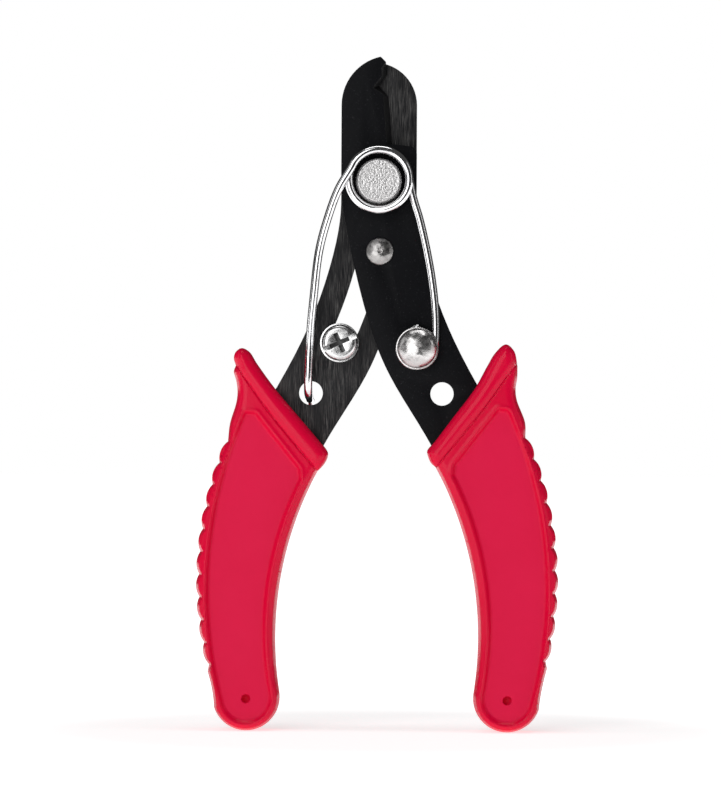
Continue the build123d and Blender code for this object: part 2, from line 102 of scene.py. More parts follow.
# ---------------------------------------------------------------- materials
class Shader:
    """A Principled material and short ways to add the procedural nodes that feed it."""

    def __init__(self, name, **values):
        self.material = bpy.data.materials.new(name)
        self.material.use_nodes = True
        self.tree = self.material.node_tree
        self.surface = self.tree.nodes["Principled BSDF"]
        for socket, value in values.items():
            self.surface.inputs[socket.replace("_", " ")].default_value = value
        self.coords = self.tree.nodes.new("ShaderNodeTexCoord").outputs["Object"]

    def node(self, kind, inputs=None, **settings):
        made = self.tree.nodes.new(kind)
        for key, value in settings.items():
            setattr(made, key, value)
        for key, value in (inputs or {}).items():
            self.feed(made.inputs[key], value)
        return made

    def feed(self, socket, value):
        if isinstance(value, bpy.types.NodeSocket):
            self.tree.links.new(value, socket)
        else:
            socket.default_value = value

    def noise(self, size_mm, detail=2.0, roughness=0.5, stretch=(1, 1, 1), distortion=0.0):
        """Noise with features of about size_mm, stretched along the axes."""
        scale = [1 / s for s in stretch]
        scaled = self.node("ShaderNodeMapping", {"Vector": self.coords, "Scale": scale})
        inputs = {
            "Vector": scaled.outputs["Vector"],
            "Scale": 1 / (size_mm * MM),
            "Detail": detail,
            "Roughness": roughness,
            "Distortion": distortion,
        }
        return self.node("ShaderNodeTexNoise", inputs).outputs["Fac"]

    def remap(self, value, low, high, to_low=0.0, to_high=1.0, smooth=False):
        inputs = {
            "Value": value, "From Min": low, "From Max": high, "To Min": to_low, "To Max": to_high,
        }
        kind = "SMOOTHSTEP" if smooth else "LINEAR"
        return self.node("ShaderNodeMapRange", inputs, interpolation_type=kind).outputs["Result"]

    def mix(self, factor, a, b):
        made = self.node("ShaderNodeMix", data_type="RGBA")
        for socket, value in zip((made.inputs[0], made.inputs[6], made.inputs[7]), (factor, a, b)):
            self.feed(socket, value)
        return made.outputs[2]

    def times(self, a, b):
        return self.math("MULTIPLY", a, b)

    def math(self, operation, a, b):
        made = self.node("ShaderNodeMath", operation=operation)
        self.feed(made.inputs[0], a)
        self.feed(made.inputs[1], b)
        return made.outputs[0]

    def attribute(self, name):
        return self.node("ShaderNodeAttribute", attribute_name=name).outputs["Fac"]

    def set(self, socket, value):
        self.feed(self.surface.inputs[socket], value)

    def bump(self, height, depth_mm, normal=None):
        inputs = {"Height": height, "Distance": depth_mm * MM, "Strength": 1.0}
        if normal is not None:
            inputs["Normal"] = normal
        return self.node("ShaderNodeBump", inputs).outputs["Normal"]


def rgb(red, green, blue):
    return (red, green, blue, 1.0)


def plastic_material():
    """Moulded red plastic: satin skin, the recessed panels spark-eroded to a finer, duller grain."""
    shader = Shader("red_plastic", IOR=1.5, Specular_IOR_Level=0.17)
    panel = shader.attribute("panel")
    mottling = shader.noise(9.0, detail=3.0)
    skin = shader.mix(mottling, rgb(0.71, 0.0014, 0.036), rgb(0.755, 0.0023, 0.044))
    floor = shader.mix(mottling, rgb(0.725, 0.0022, 0.052), rgb(0.77, 0.0042, 0.062))
    shader.set("Base Color", shader.mix(panel, skin, floor))
    smears = shader.noise(5.0, detail=4.0, roughness=0.6)
    skin_roughness = shader.remap(smears, 0.3, 0.7, 0.20, 0.28)
    panel_roughness = shader.remap(smears, 0.3, 0.7, 0.44, 0.52)
    shader.set("Roughness", shader.node(
        "ShaderNodeMix",
        {0: panel, 2: skin_roughness, 3: panel_roughness},
        data_type="FLOAT",
    ).outputs[0])
    grain = shader.noise(0.28, detail=2.0, roughness=0.6)
    fine = shader.bump(shader.times(grain, shader.remap(panel, 0, 1, 0.25, 1.0)), 0.022)
    waves = shader.noise(7.0, detail=1.0)
    shader.set("Normal", shader.bump(waves, 0.12, fine))
    return shader.material


def front_steel_material():
    """Black oxide on a blasted face: nearly black, fine light specks."""
    shader = Shader("front_lever_steel", Metallic=0.0, IOR=1.45, Specular_IOR_Level=0.10)
    specks = shader.remap(shader.noise(0.33, detail=3.0, roughness=0.7), 0.62, 0.78)
    cloud = shader.noise(6.0, detail=4.0)
    black = shader.mix(cloud, rgb(0.0025, 0.0027, 0.0036), rgb(0.0050, 0.0052, 0.0066))
    shader.set("Base Color", shader.mix(specks, black, rgb(0.045, 0.045, 0.050)))
    shader.set("Roughness", shader.remap(cloud, 0.3, 0.7, 0.46, 0.58))
    shader.set("Normal", shader.bump(shader.noise(0.25, detail=3.0, roughness=0.7), 0.02))
    return shader.material


def rear_steel_material():
    """Black oxide over a brushed face: light scratches run up and down the lever."""
    shader = Shader("rear_lever_steel", Metallic=0.0, IOR=1.45, Specular_IOR_Level=0.14)
    strokes = shader.noise(0.16, detail=4.0, roughness=0.65, stretch=(1, 1, 26))
    broad = shader.noise(2.2, detail=3.0, stretch=(1, 1, 5))
    scratches = shader.times(
        shader.remap(strokes, 0.46, 0.74), shader.remap(broad, 0.34, 0.66, 0.25, 1.0)
    )
    black = shader.mix(broad, rgb(0.006, 0.006, 0.0072), rgb(0.016, 0.016, 0.0175))
    shader.set("Base Color", shader.mix(scratches, black, rgb(0.17, 0.165, 0.16)))
    shader.set("Roughness", shader.remap(strokes, 0.3, 0.7, 0.36, 0.55))
    shader.set("Normal", shader.bump(strokes, 0.012))
    return shader.material


def wear_and_highlight_edge_material():
    """Stamped edges, where the oxide has rubbed through to bright steel in places; the bright patches are also
    a painted highlight along the edges.
    """
    shader = Shader("wear_and_highlight_edge_steel")
    worn = shader.remap(shader.noise(0.9, detail=5.0, roughness=0.75), 0.44, 0.56)
    shader.set("Base Color", shader.mix(worn, rgb(0.012, 0.012, 0.014), rgb(0.52, 0.51, 0.50)))
    shader.set("Metallic", shader.remap(worn, 0, 1, 0.2, 0.6))
    shader.set("Roughness", shader.remap(worn, 0, 1, 0.5, 0.32))
    shader.set("Normal", shader.bump(shader.noise(0.3, detail=2.0), 0.02))
    return shader.material


def ground_edge_material():
    """The jaws' ground bevels: oxide black with grinding lines across and a few bright burrs."""
    shader = Shader("ground_edge_steel", IOR=1.4)
    burrs = shader.remap(shader.noise(0.55, detail=3.0, roughness=0.8), 0.66, 0.74)
    lines = shader.noise(0.12, detail=3.0, stretch=(14, 14, 1))
    shader.set("Base Color", shader.mix(burrs, rgb(0.0022, 0.0022, 0.0026), rgb(0.30, 0.30, 0.29)))
    shader.set("Metallic", shader.remap(burrs, 0, 1, 0.0, 1.0))
    shader.set("Roughness", 0.55)
    shader.set("Normal", shader.bump(lines, 0.012))
    return shader.material


def nickel_material(name, tone, roughness, pits_mm, pit_depth):
    """Bright plated steel with soft wear marks, small pits and a few dull spots."""
    shader = Shader(name, Metallic=1.0)
    dull = shader.remap(shader.noise(1.4, detail=4.0, roughness=0.7), 0.52, 0.72)
    dark = [c * 0.55 for c in tone]
    shader.set("Base Color", shader.mix(dull, rgb(*tone), rgb(*dark)))
    smears = shader.noise(0.9, detail=3.0)
    shader.set("Roughness", shader.remap(smears, 0.3, 0.75, roughness * 0.7, roughness * 1.6))
    pits = shader.noise(pits_mm, detail=3.0, roughness=0.6)
    shader.set("Normal", shader.bump(pits, pit_depth))
    return shader.material


def wire_material():
    """Drawn spring wire with nickel plate: mirror-like, faint draw lines and rub marks."""
    shader = Shader("spring_wire", Metallic=1.0)
    rubs = shader.remap(shader.noise(1.1, detail=4.0, roughness=0.7), 0.58, 0.74)
    shader.set("Base Color", shader.mix(rubs, rgb(0.86, 0.86, 0.87), rgb(0.45, 0.44, 0.43)))
    shader.set("Roughness", shader.remap(rubs, 0, 1, 0.13, 0.34))
    shader.set("Normal", shader.bump(shader.noise(0.35, detail=2.0), 0.010))
    return shader.material


def stippled_material():
    """The rivet's head: hammered, tumbled and lightly oiled steel."""
    shader = Shader("rivet_steel", Metallic=0.92)
    grain = shader.noise(0.34, detail=3.0, roughness=0.75)
    tone = shader.mix(shader.remap(grain, 0.36, 0.56), rgb(0.36, 0.355, 0.355), rgb(0.80, 0.79, 0.79))
    shader.set("Base Color", tone)
    shader.set("Roughness", shader.remap(grain, 0.3, 0.7, 0.42, 0.30))
    shader.set("Normal", shader.bump(grain, 0.03))
    return shader.material


MATERIALS = {
    "red_plastic": plastic_material(),
    "front_lever_steel": front_steel_material(),
    "rear_lever_steel": rear_steel_material(),
    # bright edge strips: real wear, and also a painted highlight along the edges
    "worn": wear_and_highlight_edge_material(),
    "ground": ground_edge_material(),
    "rivet_steel": stippled_material(),
    "spring_wire": wire_material(),
    "nickel_rivet": nickel_material("nickel_rivet", (0.66, 0.645, 0.64), 0.26, 0.7, 0.03),
    # a darker, slightly rougher copy of the rivets' nickel; its darkness is painted shade on the stop pin
    "shade_darkened_nickel": nickel_material("shade_darkened_nickel", (0.40, 0.39, 0.385), 0.30, 0.7, 0.03),
    # a near-black copy of the nickel: painted shade for the screw's slot walls and cross recess
    "recess": nickel_material("screw_recess_painted_shade", (0.10, 0.10, 0.10), 0.45, 0.5, 0.02),
    "zinc_fastener": nickel_material("zinc_fastener", (0.74, 0.74, 0.74), 0.24, 0.5, 0.02),
}


# ---------------------------------------------------------------- mesh helpers
def add_piece(name, points, faces, slot, body, stands_for, extra_materials=()):
    """Mesh piece from (x, depth, z) points in millimetres, on a body and in place of a CAD node."""
    mesh = bpy.data.meshes.new(name)
    mesh.from_pydata(in_frame(points).tolist(), [], faces)
    mesh.validate()
    piece = bpy.data.objects.new(name, mesh)
    bpy.context.scene.collection.objects.link(piece)
    outward(mesh)
    mesh.shade_smooth()
    return dress(piece, slot, body, stands_for, extra_materials)


def dress(piece, slot, body, stands_for, extra_materials=()):
    piece.data.materials.clear()
    for key in (slot, *extra_materials):
        piece.data.materials.append(MATERIALS[key])
    if body:
        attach(piece, body)
    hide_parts(stands_for)
    return piece


def outward(mesh):
    """Turns every face of a closed mesh outwards."""
    grid = bmesh.new()
    grid.from_mesh(mesh)
    bmesh.ops.recalc_face_normals(grid, faces=grid.faces)
    grid.to_mesh(mesh)
    grid.free()


def grid_faces(rings, count):
    """Quads between successive closed rings of count points each."""
    faces = []
    for r in range(rings - 1):
        for i in range(count):
            j = (i + 1) % count
            faces.append((r * count + i, r * count + j, (r + 1) * count + j, (r + 1) * count + i))
    return faces


def catmull(points, step):
    """Smooth line through the points, a point about every step."""
    points = np.asarray(points, float)
    ends = np.vstack([2 * points[0] - points[1], points, 2 * points[-1] - points[-2]])
    knots = np.concatenate([[0], np.cumsum(np.linalg.norm(np.diff(ends, axis=0), axis=1) ** 0.5)])
    line = []
    for i in range(1, len(ends) - 2):
        p0, p1, p2, p3 = ends[i - 1:i + 3]
        k0, k1, k2, k3 = knots[i - 1:i + 3]
        count = max(1, round(np.linalg.norm(p2 - p1) / step))
        for k in np.linspace(k1, k2, count, endpoint=False):
            a1 = p0 * (k1 - k) / (k1 - k0) + p1 * (k - k0) / (k1 - k0)
            a2 = p1 * (k2 - k) / (k2 - k1) + p2 * (k - k1) / (k2 - k1)
            a3 = p2 * (k3 - k) / (k3 - k2) + p3 * (k - k2) / (k3 - k2)
            b1 = a1 * (k2 - k) / (k2 - k0) + a2 * (k - k0) / (k2 - k0)
            b2 = a2 * (k3 - k) / (k3 - k1) + a3 * (k - k1) / (k3 - k1)
            line.append(b1 * (k2 - k) / (k2 - k1) + b2 * (k - k1) / (k2 - k1))
    line.append(points[-1])
    return np.array(line)


def on_circle(centre, radius, degrees):
    a = math.radians(degrees)
    return np.array([centre[0] + radius * math.cos(a), centre[1] + radius * math.sin(a)])


def arc(start, middle, end, step):
    """Points of the circular arc through three points."""
    a, b, c = (np.asarray(p, float) for p in (start, middle, end))
    system = 2 * np.array([b - a, c - a])
    centre = np.linalg.solve(system, np.array([b @ b - a @ a, c @ c - a @ a]))
    angles = [math.atan2(*(p - centre)[::-1]) for p in (a, b, c)]
    sweep = (angles[2] - angles[0]) % math.tau
    if (angles[1] - angles[0]) % math.tau > sweep:
        sweep -= math.tau
    radius = np.linalg.norm(a - centre)
    count = max(2, round(abs(sweep) * radius / step))
    turns = angles[0] + np.linspace(0, sweep, count + 1)
    return centre + radius * np.column_stack([np.cos(turns), np.sin(turns)])


def distance_to(points, line, closed=True):
    """Distance of each point from a polyline."""
    start = line if closed else line[:-1]
    end = np.roll(line, -1, axis=0) if closed else line[1:]
    along = end - start
    length = np.maximum((along ** 2).sum(1), 1e-12)
    best = np.full(len(points), 1e9)
    for chunk in np.array_split(np.arange(len(points)), max(1, len(points) // 1000)):
        gap = points[chunk, None, :] - start[None]
        share = np.clip((gap * along).sum(2) / length, 0, 1)
        best[chunk] = np.sqrt(((gap - share[..., None] * along) ** 2).sum(2)).min(1)
    return best


def inside(points, outline):
    """Whether each point is inside a closed outline."""
    x0, z0 = outline[:, 0], outline[:, 1]
    x1, z1 = np.roll(x0, -1), np.roll(z0, -1)
    slant = (x1 - x0) / np.where(z1 == z0, 1, z1 - z0)
    found = []
    for chunk in np.array_split(points, max(1, len(points) // 2000)):
        x, z = chunk[:, :1], chunk[:, 1:]
        straddles = (z0 > z) != (z1 > z)
        found.append((straddles & (x < x0 + (z - z0) * slant)).sum(1) % 2 == 1)
    return np.concatenate(found)


def signed(points, outline):
    """Distance inside a closed outline, negative outside."""
    return np.where(inside(points, outline), 1, -1) * distance_to(points, outline)


def bulge(distance, radius):
    """Quarter-round rise from 0 at the edge to 1 at radius inside it."""
    return np.sqrt(np.clip(1 - (1 - np.clip(distance / radius, 0, 1)) ** 2, 0, 1))


def ramp(value, low, high):
    t = np.clip((value - low) / (high - low), 0, 1)
    return t * t * (3 - 2 * t)


# ---------------------------------------------------------------- grips
LEFT_MOUTH = {
    "rim": [
        (13.3, -64.4), (12.2, -63.3), (11.3, -61.9), (11.0, -60.6), (11.4, -59.6), (12.3, -58.5),
        (17.6, -52.3), (23.05, -45.9), (27.0, -40.5), (28.7, -37.9), (30.4, -37.1), (31.7, -38.0),
        (32.1, -39.4), (31.65, -41.0),
    ],
    "neck": [
        (31.65, -41.0), (32.1, -42.3), (31.5, -44.6), (31.25, -46.9), (31.5, -49.2), (32.9, -54.0),
    ],
    "groove": [(33.5, -37.9), (29.7, -43.5), (24.25, -51.2), (13.3, -64.4), (8.7, -69.9)],
    "panel": [(28.5, -51.0), (17.3, -65.1)],
    "first_notch": 23.0,
}
RIGHT_MOUTH = {
    "rim": [
        (12.9, -63.4), (11.9, -62.5), (11.3, -61.3), (11.0, -60.0), (11.3, -59.3), (12.2, -58.3),
        (16.9, -52.1), (21.6, -45.8), (24.3, -40.9), (26.1, -37.9), (28.4, -36.0), (30.2, -37.5),
        (31.0, -40.9),
    ],
    "neck": [(31.0, -40.9), (30.95, -43.5), (30.6, -46.0), (30.9, -48.4), (32.75, -53.4)],
    "groove": [(33.0, -37.0), (29.1, -42.4), (23.6, -50.2), (12.9, -63.4), (8.2, -69.1)],
    "panel": [(27.9, -50.1), (16.9, -64.1)],
    "first_notch": 23.9,
}
INNER_CENTRE, INNER_RADIUS = (-50.1, -99.9), 72.5
OUTER_CENTRE, OUTER_RADIUS = (-39.2, -88.7), 79.5
END_CENTRE, END_RADIUS = (29.0, -114.7), 7.5
END_IN_DEG, END_OUT_DEG = 170, -18
END_INSET_SHARE = 0.8  # of the sides' inset, at the rounded end
INNER_MIDDLE_DEG, OUTER_MIDDLE_DEG = 8, 2  # a point between the ends of each side's arc
NOTCH_PITCH_DEG, LOBES, NOTCH_DEPTH = 3.68, 10, 0.72
BEFORE_NOTCHES_DEG = 1.1  # where the plain side ends, before the lowest notch
PANEL_INSET = 3.35
PANEL_CORNER = 0.75
PANEL_EASING = 30  # rounds of smoothing at its corners
PIN_HOLE, PIN_HOLE_RADIUS, PIN_HOLE_DEPTH = np.array([29.0, -115.0]), 1.0, 2.2
PIN_HOLE_CONE = 0.3  # drop of its floor's middle
# half thicknesses at the middle of a surface, and at its rim, and how far in from the rim it is round
BODY_HALF, BODY_ROUND = 5.5, 2.3
COLLAR_HALF, COLLAR_RIM_HALF, COLLAR_ROUND = 6.3, 3.9, 2.5
LOBE_HALF, LOBE_RIM_HALF, LOBE_ROUND, LOBE_SLOPE = 3.3, 2.5, 0.7, 4
CREST_HEIGHT, CREST_OUTSET, CREST_WIDTH = 0.16, 1.35, 0.35  # raised line round the panel
PANEL_DEPTH, PANEL_WALL = 0.95, (-1.15, -0.05)
PANEL_TEXTURE = (-0.6, 0.1)  # where its grain fades in
GROOVE_LIP_DEPTH, GROOVE_LIP_WIDTH = 0.30, 0.38
GROOVE_DEPTH_SHARE, GROOVE_ROUND = 0.50, 2.1
HOLE_LIP_DEPTH, HOLE_LIP_WIDTH = 0.12, 0.3
WALL_DRAFT = 0.15
WALL_LEVELS = (0.72, 0.3, -0.3, -0.72)  # rows of the side wall, as shares of the half thickness
SPACING = 0.4
LEAST_GAP = SPACING * 0.45
HEX_ROW = SPACING * 0.87
RIM_ROWS = (0.3, 0.55, 0.85, 1.2, 1.6, 2.05, 2.5)
PANEL_ROWS = (0.0, 0.25, 0.5, 0.75, 1.0, 1.2, 1.45, 1.75)
GROOVE_ROWS = (-0.4, -0.2, -0.04, 0.04, 0.25, 0.55, 0.9, 1.4, 2.1)
HOLE_ROWS = (1.12, 1.3, 1.6)
SLOPE_STEP = 0.04


def sides(inner_start, outer_stop, inset, outer_middle_deg=OUTER_MIDDLE_DEG):
    """Inner side, rounded end and outer side of a grip, from its two upper ends, moved inwards."""
    inner, outer = INNER_RADIUS + inset, OUTER_RADIUS - inset
    end = END_RADIUS - inset * END_INSET_SHARE
    end_in = on_circle(END_CENTRE, end, END_IN_DEG)
    end_out = on_circle(END_CENTRE, end, END_OUT_DEG)
    return [
        arc(inner_start, on_circle(INNER_CENTRE, inner, INNER_MIDDLE_DEG), end_in, SPACING),
        arc(end_in, on_circle(END_CENTRE, end, -90), end_out, SPACING),
        arc(end_out, on_circle(OUTER_CENTRE, outer, outer_middle_deg), outer_stop, SPACING),
    ]


def joined(*runs):
    """One line of several runs that share their ends."""
    return np.vstack([run[:-1] for run in runs] + [runs[-1][-1:]])


def silhouette(mouth):
    """Closed outline of a grip: round its sides, up the scallops, over the horn and along the mouth."""
    first = mouth["first_notch"]
    last = first - NOTCH_PITCH_DEG * LOBES
    bottom = OUTER_RADIUS - NOTCH_DEPTH
    stop = on_circle(OUTER_CENTRE, OUTER_RADIUS, last - BEFORE_NOTCHES_DEG)
    runs = sides(mouth["rim"][0], stop, 0, last - 3)
    runs.append(np.array([runs[-1][-1], on_circle(OUTER_CENTRE, bottom, last)]))
    for lobe in range(LOBES):
        low = last + lobe * NOTCH_PITCH_DEG
        runs.append(arc(
            on_circle(OUTER_CENTRE, bottom, low),
            on_circle(OUTER_CENTRE, OUTER_RADIUS, low + NOTCH_PITCH_DEG / 2),
            on_circle(OUTER_CENTRE, bottom, low + NOTCH_PITCH_DEG),
            SPACING,
        ))
    runs.append(catmull([runs[-1][-1], *mouth["neck"][::-1]], SPACING))
    runs.append(catmull(mouth["rim"][::-1], SPACING))
    return joined(*runs)[:-1]


def smooth_body(mouth):
    """The grip's outline with the scallops left out, along their bottoms."""
    stop = on_circle(OUTER_CENTRE, OUTER_RADIUS - NOTCH_DEPTH, mouth["first_notch"])
    runs = sides(mouth["rim"][0], stop, 0)
    runs.append(catmull([stop, *mouth["neck"][::-1]], SPACING))
    runs.append(catmull(mouth["rim"][::-1], SPACING))
    return joined(*runs)[:-1]


def panel_edge(mouth):
    """Outline of the recessed panel, its upper corners rounded."""
    outer_top, inner_top = (np.array(p) for p in mouth["panel"])
    runs = sides(inner_top, outer_top, PANEL_INSET)
    line = joined(*runs, np.array([outer_top, inner_top]))[:-1]
    return eased(line, [outer_top, inner_top])


def eased(line, corners):
    """The closed line with each named corner rounded off."""
    line = resampled(line, SPACING)
    for corner in corners:
        near = np.linalg.norm(line - corner, axis=1) < PANEL_CORNER * 1.6
        for _ in range(PANEL_EASING):
            average = (np.roll(line, 1, axis=0) + np.roll(line, -1, axis=0)) / 2
            line[near] = average[near]
    return line


def resampled(line, step):
    """The closed line with even spacing."""
    closed = np.vstack([line, line[:1]])
    reach = np.concatenate([[0], np.cumsum(np.linalg.norm(np.diff(closed, axis=0), axis=1))])
    at = np.linspace(0, reach[-1], round(reach[-1] / step), endpoint=False)
    return np.column_stack([np.interp(at, reach, closed[:, k]) for k in (0, 1)])


def inward_normals(line):
    """Unit normals of a closed anticlockwise line, pointing in."""
    along = np.roll(line, -1, axis=0) - np.roll(line, 1, axis=0)
    along /= np.linalg.norm(along, axis=1)[:, None]
    return np.column_stack([-along[:, 1], along[:, 0]])


def grip_height(mouth, edge, body, panel):
    """Half thickness of the grip at each point, and how far each is into the panel."""
    groove = np.array(mouth["groove"])
    above = np.vstack([groove, [0, -60], [0, 0], [40, 0]])

    def height(points):
        rim = signed(points, edge)
        into_body = signed(points, body)
        into_panel = signed(points, panel)
        past_groove = distance_to(points, groove, closed=False)
        past_groove = np.where(inside(points, above), 1, -1) * past_groove
        lobe = LOBE_RIM_HALF + (LOBE_HALF - LOBE_RIM_HALF) * bulge(rim, LOBE_ROUND)
        base = LOBE_HALF + (BODY_HALF - LOBE_HALF) * bulge(into_body, BODY_ROUND)
        flank = np.where(into_body > 0, base, lobe)
        edge_limit = np.maximum(lobe, LOBE_RIM_HALF + LOBE_SLOPE * rim)
        flank = np.minimum(flank, np.where(rim < LOBE_ROUND, edge_limit, np.inf))
        crest = CREST_HEIGHT * np.exp(-((into_panel + CREST_OUTSET) / CREST_WIDTH) ** 2)
        recess = PANEL_DEPTH * ramp(into_panel, *PANEL_WALL)
        lip = GROOVE_LIP_DEPTH * (1 - ramp(-past_groove, 0.0, GROOVE_LIP_WIDTH))
        below = flank + crest * (into_body > 1.0) - recess - lip
        groove_side = (1 - GROOVE_DEPTH_SHARE) + GROOVE_DEPTH_SHARE * bulge(past_groove, GROOVE_ROUND)
        rise = (COLLAR_HALF - COLLAR_RIM_HALF) * bulge(rim, COLLAR_ROUND) * groove_side
        result = np.where(past_groove > 0, COLLAR_RIM_HALF + rise, below)
        hole = np.linalg.norm(points - PIN_HOLE, axis=1) - PIN_HOLE_RADIUS
        hole_lip = HOLE_LIP_DEPTH * (1 - bulge(hole, HOLE_LIP_WIDTH))
        return result - hole_lip, ramp(into_panel, *PANEL_TEXTURE)

    return height


def thinned(points, fixed, gap):
    """The points that keep at least gap from the fixed ones and from each other."""
    taken = {}
    kept = []
    for index, (x, z) in enumerate(np.vstack([fixed, points])):
        cell = (int(x // gap), int(z // gap))
        near = (
            other
            for i in (-1, 0, 1)
            for j in (-1, 0, 1)
            for other in taken.get((cell[0] + i, cell[1] + j), ())
        )
        if index < len(fixed) or all((x - a) ** 2 + (z - b) ** 2 >= gap * gap for a, b in near):
            taken.setdefault(cell, []).append((x, z))
            if index >= len(fixed):
                kept.append((x, z))
    return np.array(kept)


def face_mesh(edge, panel, groove):
    """Flat triangulation of a grip's face with rows of points along its rim, panel and groove."""
    border = edge + inward_normals(edge) * WALL_DRAFT
    hole = np.array([on_circle(PIN_HOLE, PIN_HOLE_RADIUS, d) for d in np.arange(0, 360, 15)])
    rows = []
    for inset in RIM_ROWS:
        row = edge + inward_normals(edge) * inset
        rows.append(row[np.abs(signed(row, edge) - inset) < 0.06])
    for outset in PANEL_ROWS:
        rows.append(panel - inward_normals(panel) * outset)
    line = catmull(groove, SPACING)
    across = np.gradient(line, axis=0)
    length = np.linalg.norm(across, axis=1)[:, None]
    across = np.column_stack([-across[:, 1], across[:, 0]]) / length
    for side in GROOVE_ROWS:
        rows.append(line - across * side)
    rows.append(np.vstack([PIN_HOLE + (hole - PIN_HOLE) * share for share in HOLE_ROWS]))
    low, high = edge.min(0), edge.max(0)
    xs = np.arange(low[0], high[0], SPACING)
    zs = np.arange(low[1], high[1], HEX_ROW)
    hexagonal = np.array([(x + SPACING / 2 * (k % 2), z) for k, z in enumerate(zs) for x in xs])
    candidates = np.vstack([*rows, hexagonal])
    roomy = signed(candidates, border) > 0.1
    clear = np.linalg.norm(candidates - PIN_HOLE, axis=1) > PIN_HOLE_RADIUS + 0.08
    filling = thinned(candidates[roomy & clear], np.vstack([border, hole]), LEAST_GAP)
    everything = np.vstack([border, hole, filling])
    loops = [(i, (i + 1) % len(border)) for i in range(len(border))]
    loops += [(len(border) + i, len(border) + (i + 1) % len(hole)) for i in range(len(hole))]
    flat = [Vector(p) for p in everything]
    points, _, triangles, *_ = geometry.delaunay_2d_cdt(flat, loops, [], 0, 1e-6)
    points = np.array([tuple(p) for p in points])
    triangles = np.array(triangles)
    middles = points[triangles].mean(1)
    outside_hole = np.linalg.norm(middles - PIN_HOLE, axis=1) > PIN_HOLE_RADIUS * 0.99
    return points, triangles[inside(middles, border) & outside_hole]


def border_edges(triangles):
    """Edges with one triangle, each in that triangle's own direction."""
    edges = np.vstack([triangles[:, [0, 1]], triangles[:, [1, 2]], triangles[:, [2, 0]]])
    twins = {tuple(e) for e in edges}
    return [tuple(e) for e in edges if (e[1], e[0]) not in twins]


def in_order(edges):
    """Points of one closed loop of directed edges, in order."""
    following = dict(edges)
    loop = [edges[0][0]]
    for _ in edges[1:]:
        loop.append(following[loop[-1]])
    return np.array(loop)


def grip(name, mouth, body_name, turned_round):
    """Grip from its mouth's outline: two faces, a bulged side wall and blind holes at the end."""
    edge = silhouette(mouth)
    panel = panel_edge(mouth)
    height = grip_height(mouth, edge, smooth_body(mouth), panel)
    flat, triangles = face_mesh(edge, panel, mouth["groove"])
    used = np.unique(triangles)
    lookup = np.full(len(flat), -1)
    lookup[used] = np.arange(len(used))
    flat, triangles = flat[used], lookup[triangles]
    half, in_panel = height(flat)
    slope = [
        (height(flat + offset)[0] - height(flat - offset)[0]) / (2 * SLOPE_STEP)
        for offset in (np.array([SLOPE_STEP, 0]), np.array([0, SLOPE_STEP]))
    ]
    count = len(flat)
    middle = sum(node_depths("front_lever")) / 2
    points = [np.column_stack([flat[:, 0], side * half, flat[:, 1]]) for side in (1, -1)]
    faces = [tuple(t) for t in triangles] + [tuple(t[::-1] + count) for t in triangles]
    normals = [np.column_stack([-slope[0], np.full(count, side), -slope[1]]) for side in (1, -1)]
    panels = [in_panel, in_panel]
    total = 2 * count
    rims = border_edges(triangles)
    holes = [e for e in rims if np.linalg.norm(flat[e[0]] - PIN_HOLE) < 2 * PIN_HOLE_RADIUS]
    outer = [e for e in rims if e not in set(holes)]
    # the side wall bulges to the full outline between the two faces
    loop = in_order(outer)
    out = -inward_normals(flat[loop])
    starts = []
    for level in WALL_LEVELS:
        ring = flat[loop] + out * (WALL_DRAFT * (0.75 if abs(level) > 0.5 else 1.0))
        points.append(np.column_stack([ring[:, 0], level * half[loop], ring[:, 1]]))
        normals.append(np.column_stack([out[:, 0], np.full(len(loop), level * 0.3), out[:, 1]]))
        panels.append(np.zeros(len(loop)))
        starts.append(total + np.arange(len(loop)))
        total += len(loop)
    rings = [loop, *starts, loop + count]
    for upper, lower in zip(rings, rings[1:]):
        for i in range(len(loop)):
            j = (i + 1) % len(loop)
            faces.append((upper[j], upper[i], lower[i], lower[j]))
    # blind holes at the end
    for side, shift in ((1, 0), (-1, count)):
        ring = in_order(holes)
        floor = side * (half[ring].mean() - PIN_HOLE_DEPTH)
        points.append(np.column_stack([flat[ring, 0], np.full(len(ring), floor), flat[ring, 1]]))
        points.append(np.array([[PIN_HOLE[0], floor - side * PIN_HOLE_CONE, PIN_HOLE[1]]]))
        toward = PIN_HOLE - flat[ring]
        normals.append(np.column_stack([toward[:, 0], np.full(len(ring), side), toward[:, 1]]))
        normals.append(np.array([[0.0, side, 0.0]]))
        panels.append(np.ones(len(ring) + 1))
        deep = total + np.arange(len(ring))
        tip = total + len(ring)
        total += len(ring) + 1
        for i in range(len(ring)):
            j = (i + 1) % len(ring)
            faces.append((ring[i] + shift, ring[j] + shift, deep[j], deep[i]))
            faces.append((deep[i], deep[j], tip))
    points, normals = np.vstack(points), np.vstack(normals)
    points[:, 1] += middle
    if turned_round:
        points[:, :2] *= -1
        normals[:, :2] *= -1
    piece = add_piece(name + "_shell", points, faces, "red_plastic", body_name, name)
    normals[:, 1] *= -1
    normals /= np.linalg.norm(normals, axis=1)[:, None]
    flags = piece.data.attributes.new("panel", "FLOAT", "POINT")
    flags.data.foreach_set("value", np.concatenate(panels).astype(np.float32))
    piece.data.normals_split_custom_set_from_vertices(normals.tolist())
    return piece


grip("left_grip", LEFT_MOUTH, "rear_handle", True)
grip("right_grip", RIGHT_MOUTH, "front_handle", False)


# ---------------------------------------------------------------- levers, washers and nut
FLAT_DEG, SHARP_DEG, SHADING_DEG = 0.5, 28, 30
FRONT_LEVER_WEAR, REAR_LEVER_WEAR, CLAMP_WEAR, SCREW_WEAR = 0.15, 0.12, 0.12, 0.06
GROUND_ABOVE = 8.5  # ground faces are this far above the pivot
GROUND_TILT = (0.1, 0.97)  # how much of a ground face's normal points along the depth


